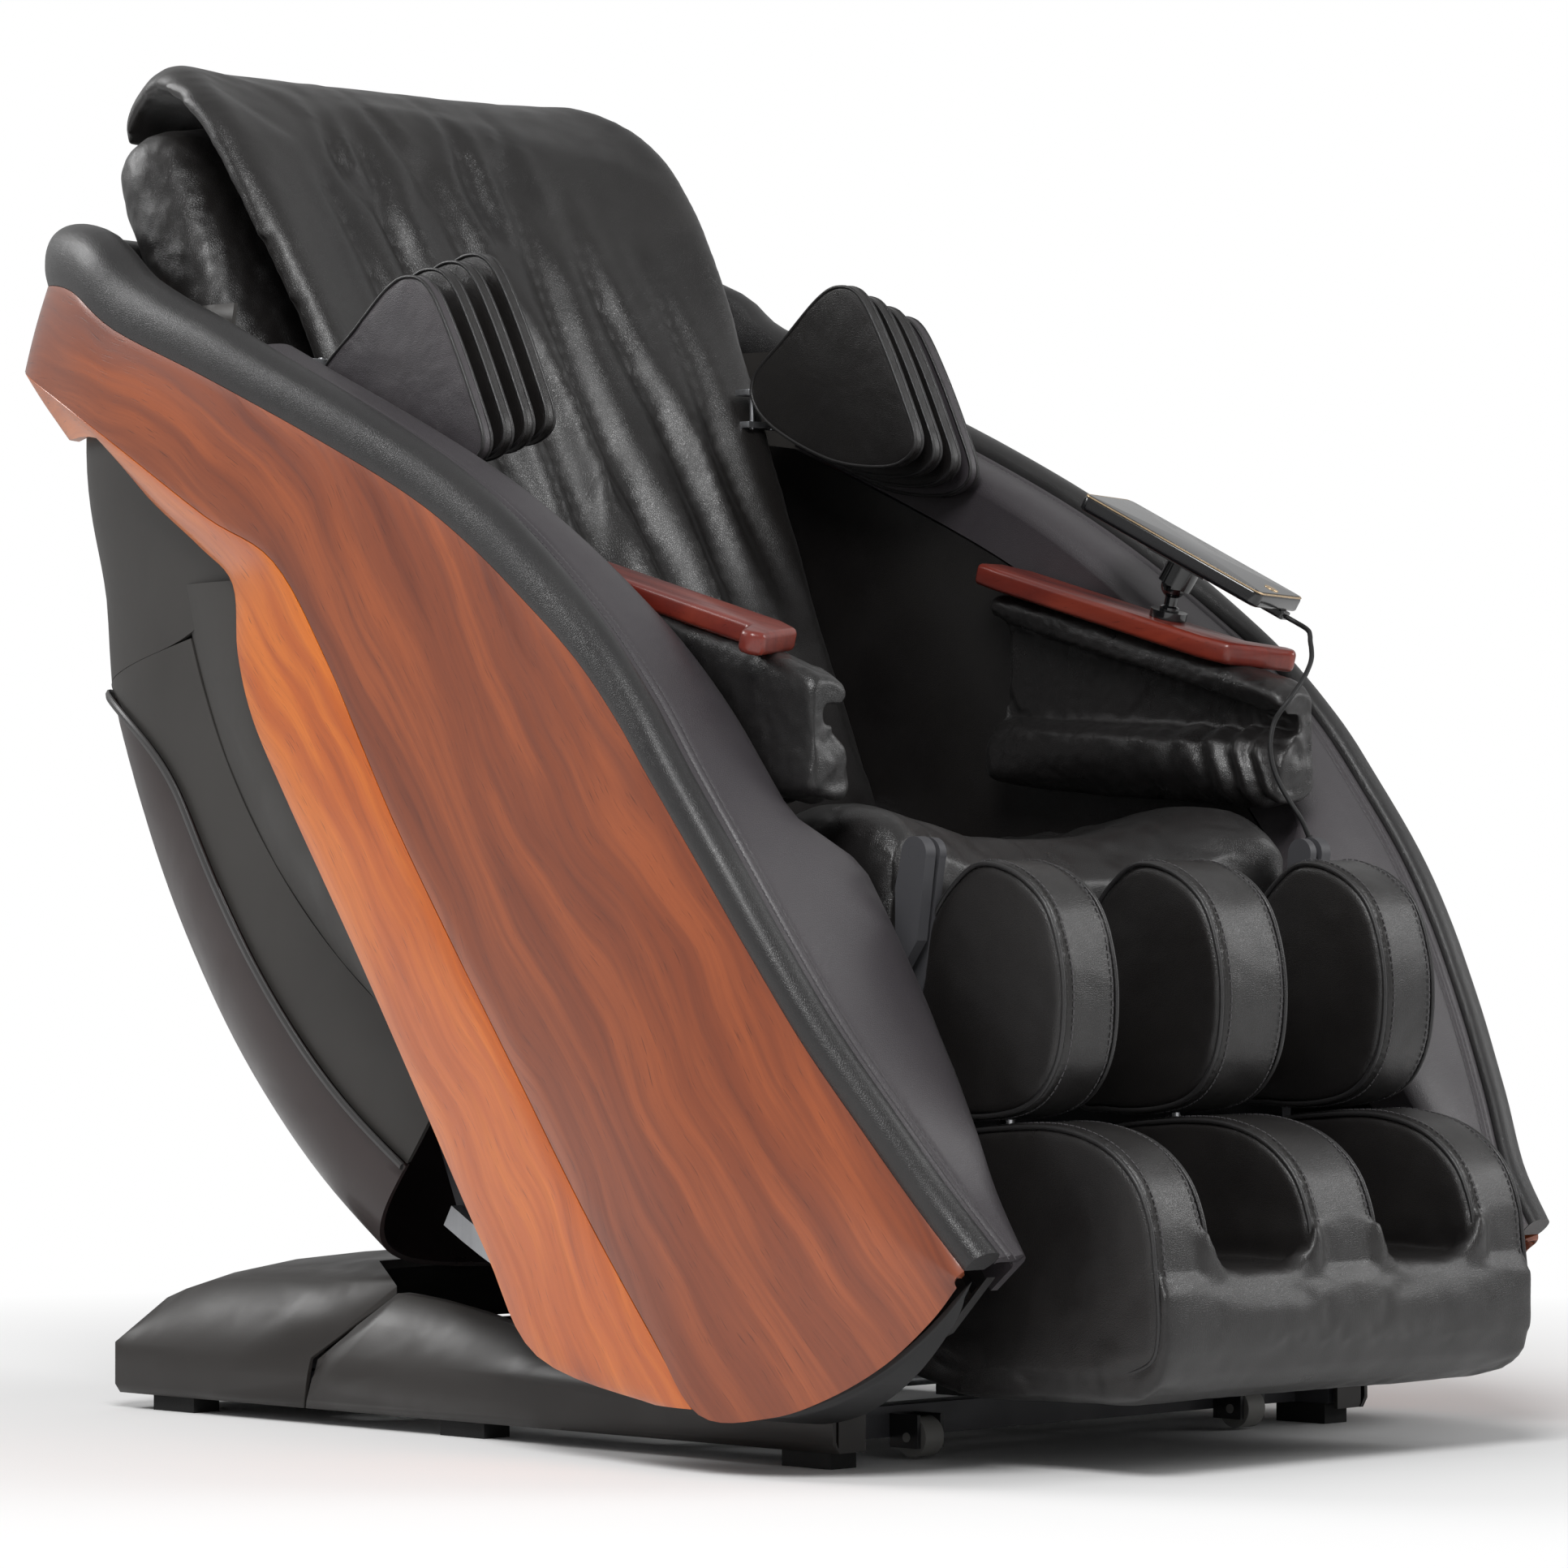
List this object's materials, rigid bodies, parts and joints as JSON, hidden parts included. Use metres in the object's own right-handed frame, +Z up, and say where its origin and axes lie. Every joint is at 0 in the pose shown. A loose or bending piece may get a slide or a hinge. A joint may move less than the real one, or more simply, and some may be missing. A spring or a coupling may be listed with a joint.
{
  "type": "massage chair",
  "caption": "Massage chair with a padded seat in wood-clad side panels, on a low rocking base, with a lifting leg rest and a tablet remote on an arm.",
  "frame": {"origin": "on the floor, under the middle of the bounding box", "axes": "+Z up, the sitter faces -Y, +X is the side with the tablet remote, the sitter's left"},
  "size_m": [0.916, 1.33, 1.238],
  "materials": {
    "frame_steel": "satin black powder coat",
    "base_plastic": "fine-textured moulded plastic",
    "rubber_feet": "matte",
    "black_plastic": "fine-textured",
    "wheel_grey": "matte",
    "roller_steel": "turned",
    "gloss_black": "gloss",
    "wood_red_brown": "satin lacquered veneer, straight grain along the panel",
    "wood_orange": "satin lacquered veneer, lighter",
    "wood_mahogany": "polished lacquer",
    "leather_black": "soft synthetic leather, satin",
    "leather_grey": "taut synthetic leather, satin",
    "rear_plastic": "fine-textured",
    "shell_brown": "satin brown-black",
    "chrome_rod": "polished",
    "cord_rubber": "matte"
  },
  "bodies": {
    "base": {"base_frame": "frame_steel", "base_rear_cover": "base_plastic", "base_rail_covers": "base_plastic", "rubber_feet": "rubber_feet", "wheel_bracket": "black_plastic", "power_inlet": "black_plastic"},
    "wheels": {"transport_wheels": "wheel_grey"},
    "roller_front": {"cradle_rollers_front": "roller_steel"},
    "roller_rear": {"cradle_rollers_rear": "roller_steel"},
    "rocker": {"power_switch": "gloss_black"},
    "cocoon": {"main_frame": "frame_steel", "cradle_rails": "roller_steel", "carrier_plates": "black_plastic", "wood_panel_left": "wood_red_brown", "wood_panel_right": "wood_red_brown", "wood_edge_left": "wood_orange", "wood_edge_right": "wood_orange", "cocoon_trim": "leather_black", "side_leather": "leather_grey", "side_walls": "leather_black", "lower_edge_strips": "black_plastic", "rear_upper_cover": "rear_plastic", "arch_trim": "rear_plastic", "rear_lower_shell": "shell_brown", "seat_pan": "frame_steel", "seat_cushion": "leather_black", "back_bolsters": "leather_black", "back_pad": "leather_black", "arm_bolsters": "leather_black", "arm_pads": "wood_mahogany", "shoulder_plates": "leather_grey", "back_rails": "frame_steel", "control_box": "rear_plastic", "air_pump": "black_plastic", "holder_foot": "gloss_black", "cord_gland": "cord_rubber", "remote_cord": "cord_rubber"},
    "leaf_left_2": {"shoulder_leaf_left_2": "leather_grey"},
    "leaf_left_3": {"shoulder_leaf_left_3": "leather_grey"},
    "leaf_left_4": {"shoulder_leaf_left_4": "leather_grey"},
    "leaf_right_2": {"shoulder_leaf_right_2": "leather_grey"},
    "leaf_right_3": {"shoulder_leaf_right_3": "leather_grey"},
    "leaf_right_4": {"shoulder_leaf_right_4": "leather_grey"},
    "carriage": {"carriage_frame": "frame_steel"},
    "kneader": {"knead_shaft": "chrome_rod"},
    "back_rollers": {"massage_rollers": "rubber_feet"},
    "tilt_tube": {"tilt_actuator": "black_plastic"},
    "tilt_piston": {"tilt_rod": "chrome_rod"},
    "leg_tube": {"leg_actuator": "black_plastic"},
    "leg_piston": {"leg_rod": "chrome_rod"},
    "legrest": {"calf_frame": "frame_steel", "calf_pads": "leather_black"},
    "footrest": {"slide_rods": "chrome_rod", "foot_shell": "leather_black", "foot_pads": "leather_black"},
    "sole_rollers": {"foot_rollers": "rubber_feet"},
    "holder": {"holder_arm": "gloss_black"},
    "tablet": {"tablet_cradle": "gloss_black", "tablet_remote": "gloss_black"},
    "tablet_key": {"tablet_button": "chrome_rod"}
  },
  "joints": [
    {"name": "cradle_tilt", "type": "hinge", "parent": "base", "child": "cocoon", "pos_m": [0, -0.23, 0.84], "axis": [-1, 0, 0], "range_deg": [0, 7]},
    {"name": "cradle_roller_front_spin", "type": "hinge", "parent": "base", "child": "roller_front", "pos_m": [0, -0.28463, 0.05876], "axis": [1, 0, 0], "range_deg": [-10, 310]},
    {"name": "cradle_roller_rear_spin", "type": "hinge", "parent": "base", "child": "roller_rear", "pos_m": [0, -0.06717, 0.07396], "axis": [1, 0, 0], "range_deg": [-10, 310]},
    {"name": "transport_wheel_spin", "type": "hinge", "parent": "base", "child": "wheels", "pos_m": [0, -0.362, 0.019], "axis": [1, 0, 0], "continuous": true},
    {"name": "power_switch_rock", "type": "hinge", "parent": "base", "child": "rocker", "pos_m": [0.06, 0.513, 0.0375], "axis": [-1, 0, 0], "range_deg": [0, 14]},
    {"name": "tilt_actuator_swing", "type": "hinge", "parent": "base", "child": "tilt_tube", "pos_m": [0.062, -0.326, 0.062], "axis": [1, 0, 0], "range_deg": [-1, 6]},
    {"name": "tilt_rod_slide", "type": "slide", "parent": "tilt_tube", "child": "tilt_piston", "axis": [0, 0.8344, 0.5512], "range_m": [-0.18, 0.004]},
    {"name": "leg_actuator_swing", "type": "hinge", "parent": "cocoon", "child": "leg_tube", "pos_m": [-0.04, 0.14, 0.29], "axis": [-1, 0, 0], "range_deg": [-1, 12]},
    {"name": "leg_rod_slide", "type": "slide", "parent": "leg_tube", "child": "leg_piston", "axis": [0, -0.9998, 0.0206], "range_m": [-0.004, 0.27]},
    {"name": "legrest_lift", "type": "hinge", "parent": "cocoon", "child": "legrest", "pos_m": [0, -0.405, 0.504], "axis": [-1, 0, 0], "range_deg": [0, 80]},
    {"name": "footrest_extend", "type": "slide", "parent": "legrest", "child": "footrest", "axis": [0, 0, -1], "range_m": [-0.001, 0.081]},
    {"name": "sole_roller_spin", "type": "hinge", "parent": "footrest", "child": "sole_rollers", "pos_m": [0, -0.52, 0.112], "axis": [1, 0, 0], "continuous": true},
    {"name": "massage_carriage_travel", "type": "slide", "parent": "cocoon", "child": "carriage", "axis": [0, 0.4924, 0.8704], "range_m": [-0.04, 0.15]},
    {"name": "knead_shaft_spin", "type": "hinge", "parent": "carriage", "child": "kneader", "pos_m": [0, 0.34484, 0.79948], "axis": [1, 0, 0], "continuous": true},
    {"name": "massage_roller_spin", "type": "hinge", "parent": "kneader", "child": "back_rollers", "pos_m": [0, 0.34484, 0.79948], "axis": [1, 0, 0], "continuous": true},
    {"name": "shoulder_left_2_swing", "type": "hinge", "parent": "cocoon", "child": "leaf_left_2", "pos_m": [-0.284, 0.272, 0.928], "axis": [0, 0, 1], "range_deg": [0, 3.4]},
    {"name": "shoulder_left_3_swing", "type": "hinge", "parent": "cocoon", "child": "leaf_left_3", "pos_m": [-0.259, 0.272, 0.928], "axis": [0, 0, 1], "range_deg": [0, 6.7]},
    {"name": "shoulder_left_4_swing", "type": "hinge", "parent": "cocoon", "child": "leaf_left_4", "pos_m": [-0.234, 0.272, 0.928], "axis": [0, 0, 1], "range_deg": [0, 10]},
    {"name": "shoulder_right_2_swing", "type": "hinge", "parent": "cocoon", "child": "leaf_right_2", "pos_m": [0.284, 0.272, 0.928], "axis": [0, 0, -1], "range_deg": [0, 3.4]},
    {"name": "shoulder_right_3_swing", "type": "hinge", "parent": "cocoon", "child": "leaf_right_3", "pos_m": [0.259, 0.272, 0.928], "axis": [0, 0, -1], "range_deg": [0, 6.7]},
    {"name": "shoulder_right_4_swing", "type": "hinge", "parent": "cocoon", "child": "leaf_right_4", "pos_m": [0.234, 0.272, 0.928], "axis": [0, 0, -1], "range_deg": [0, 10]},
    {"name": "tablet_swivel", "type": "hinge", "parent": "cocoon", "child": "holder", "pos_m": [0.29763, -0.19437, 0.71654], "axis": [0, -0.2607, 0.9654], "range_deg": [-30, 30]},
    {"name": "tablet_tilt", "type": "hinge", "parent": "holder", "child": "tablet", "pos_m": [0.29763, -0.20229, 0.74586], "axis": [0.9291, 0.3698, 0], "range_deg": [-18, 0]},
    {"name": "tablet_key_press", "type": "slide", "parent": "tablet", "child": "tablet_key", "axis": [-0.1793, 0.4505, -0.8746], "range_m": [0, 0.0009], "stiffness_N_per_m": 500, "springref_m": -0.001}
  ],
  "couplings": [
    {"joint": "cradle_roller_front_spin", "follows": "cradle_tilt", "ratio": 42.5},
    {"joint": "cradle_roller_rear_spin", "follows": "cradle_tilt", "ratio": 42.5},
    {"joint": "tilt_actuator_swing", "follows": "cradle_tilt", "ratio": 0.0507},
    {"joint": "tilt_rod_slide", "follows": "cradle_tilt", "m_per_rad": -0.5955},
    {"joint": "leg_actuator_swing", "follows": "legrest_lift", "ratio": 0.1},
    {"joint": "leg_rod_slide", "follows": "legrest_lift", "m_per_rad": 0.1862},
    {"joint": "footrest_extend", "follows": "legrest_lift", "m_per_rad": 0.057},
    {"joint": "shoulder_left_2_swing", "follows": "shoulder_left_4_swing", "ratio": 0.33},
    {"joint": "shoulder_left_3_swing", "follows": "shoulder_left_4_swing", "ratio": 0.66},
    {"joint": "shoulder_right_2_swing", "follows": "shoulder_right_4_swing", "ratio": 0.33},
    {"joint": "shoulder_right_3_swing", "follows": "shoulder_right_4_swing", "ratio": 0.66}
  ]
}
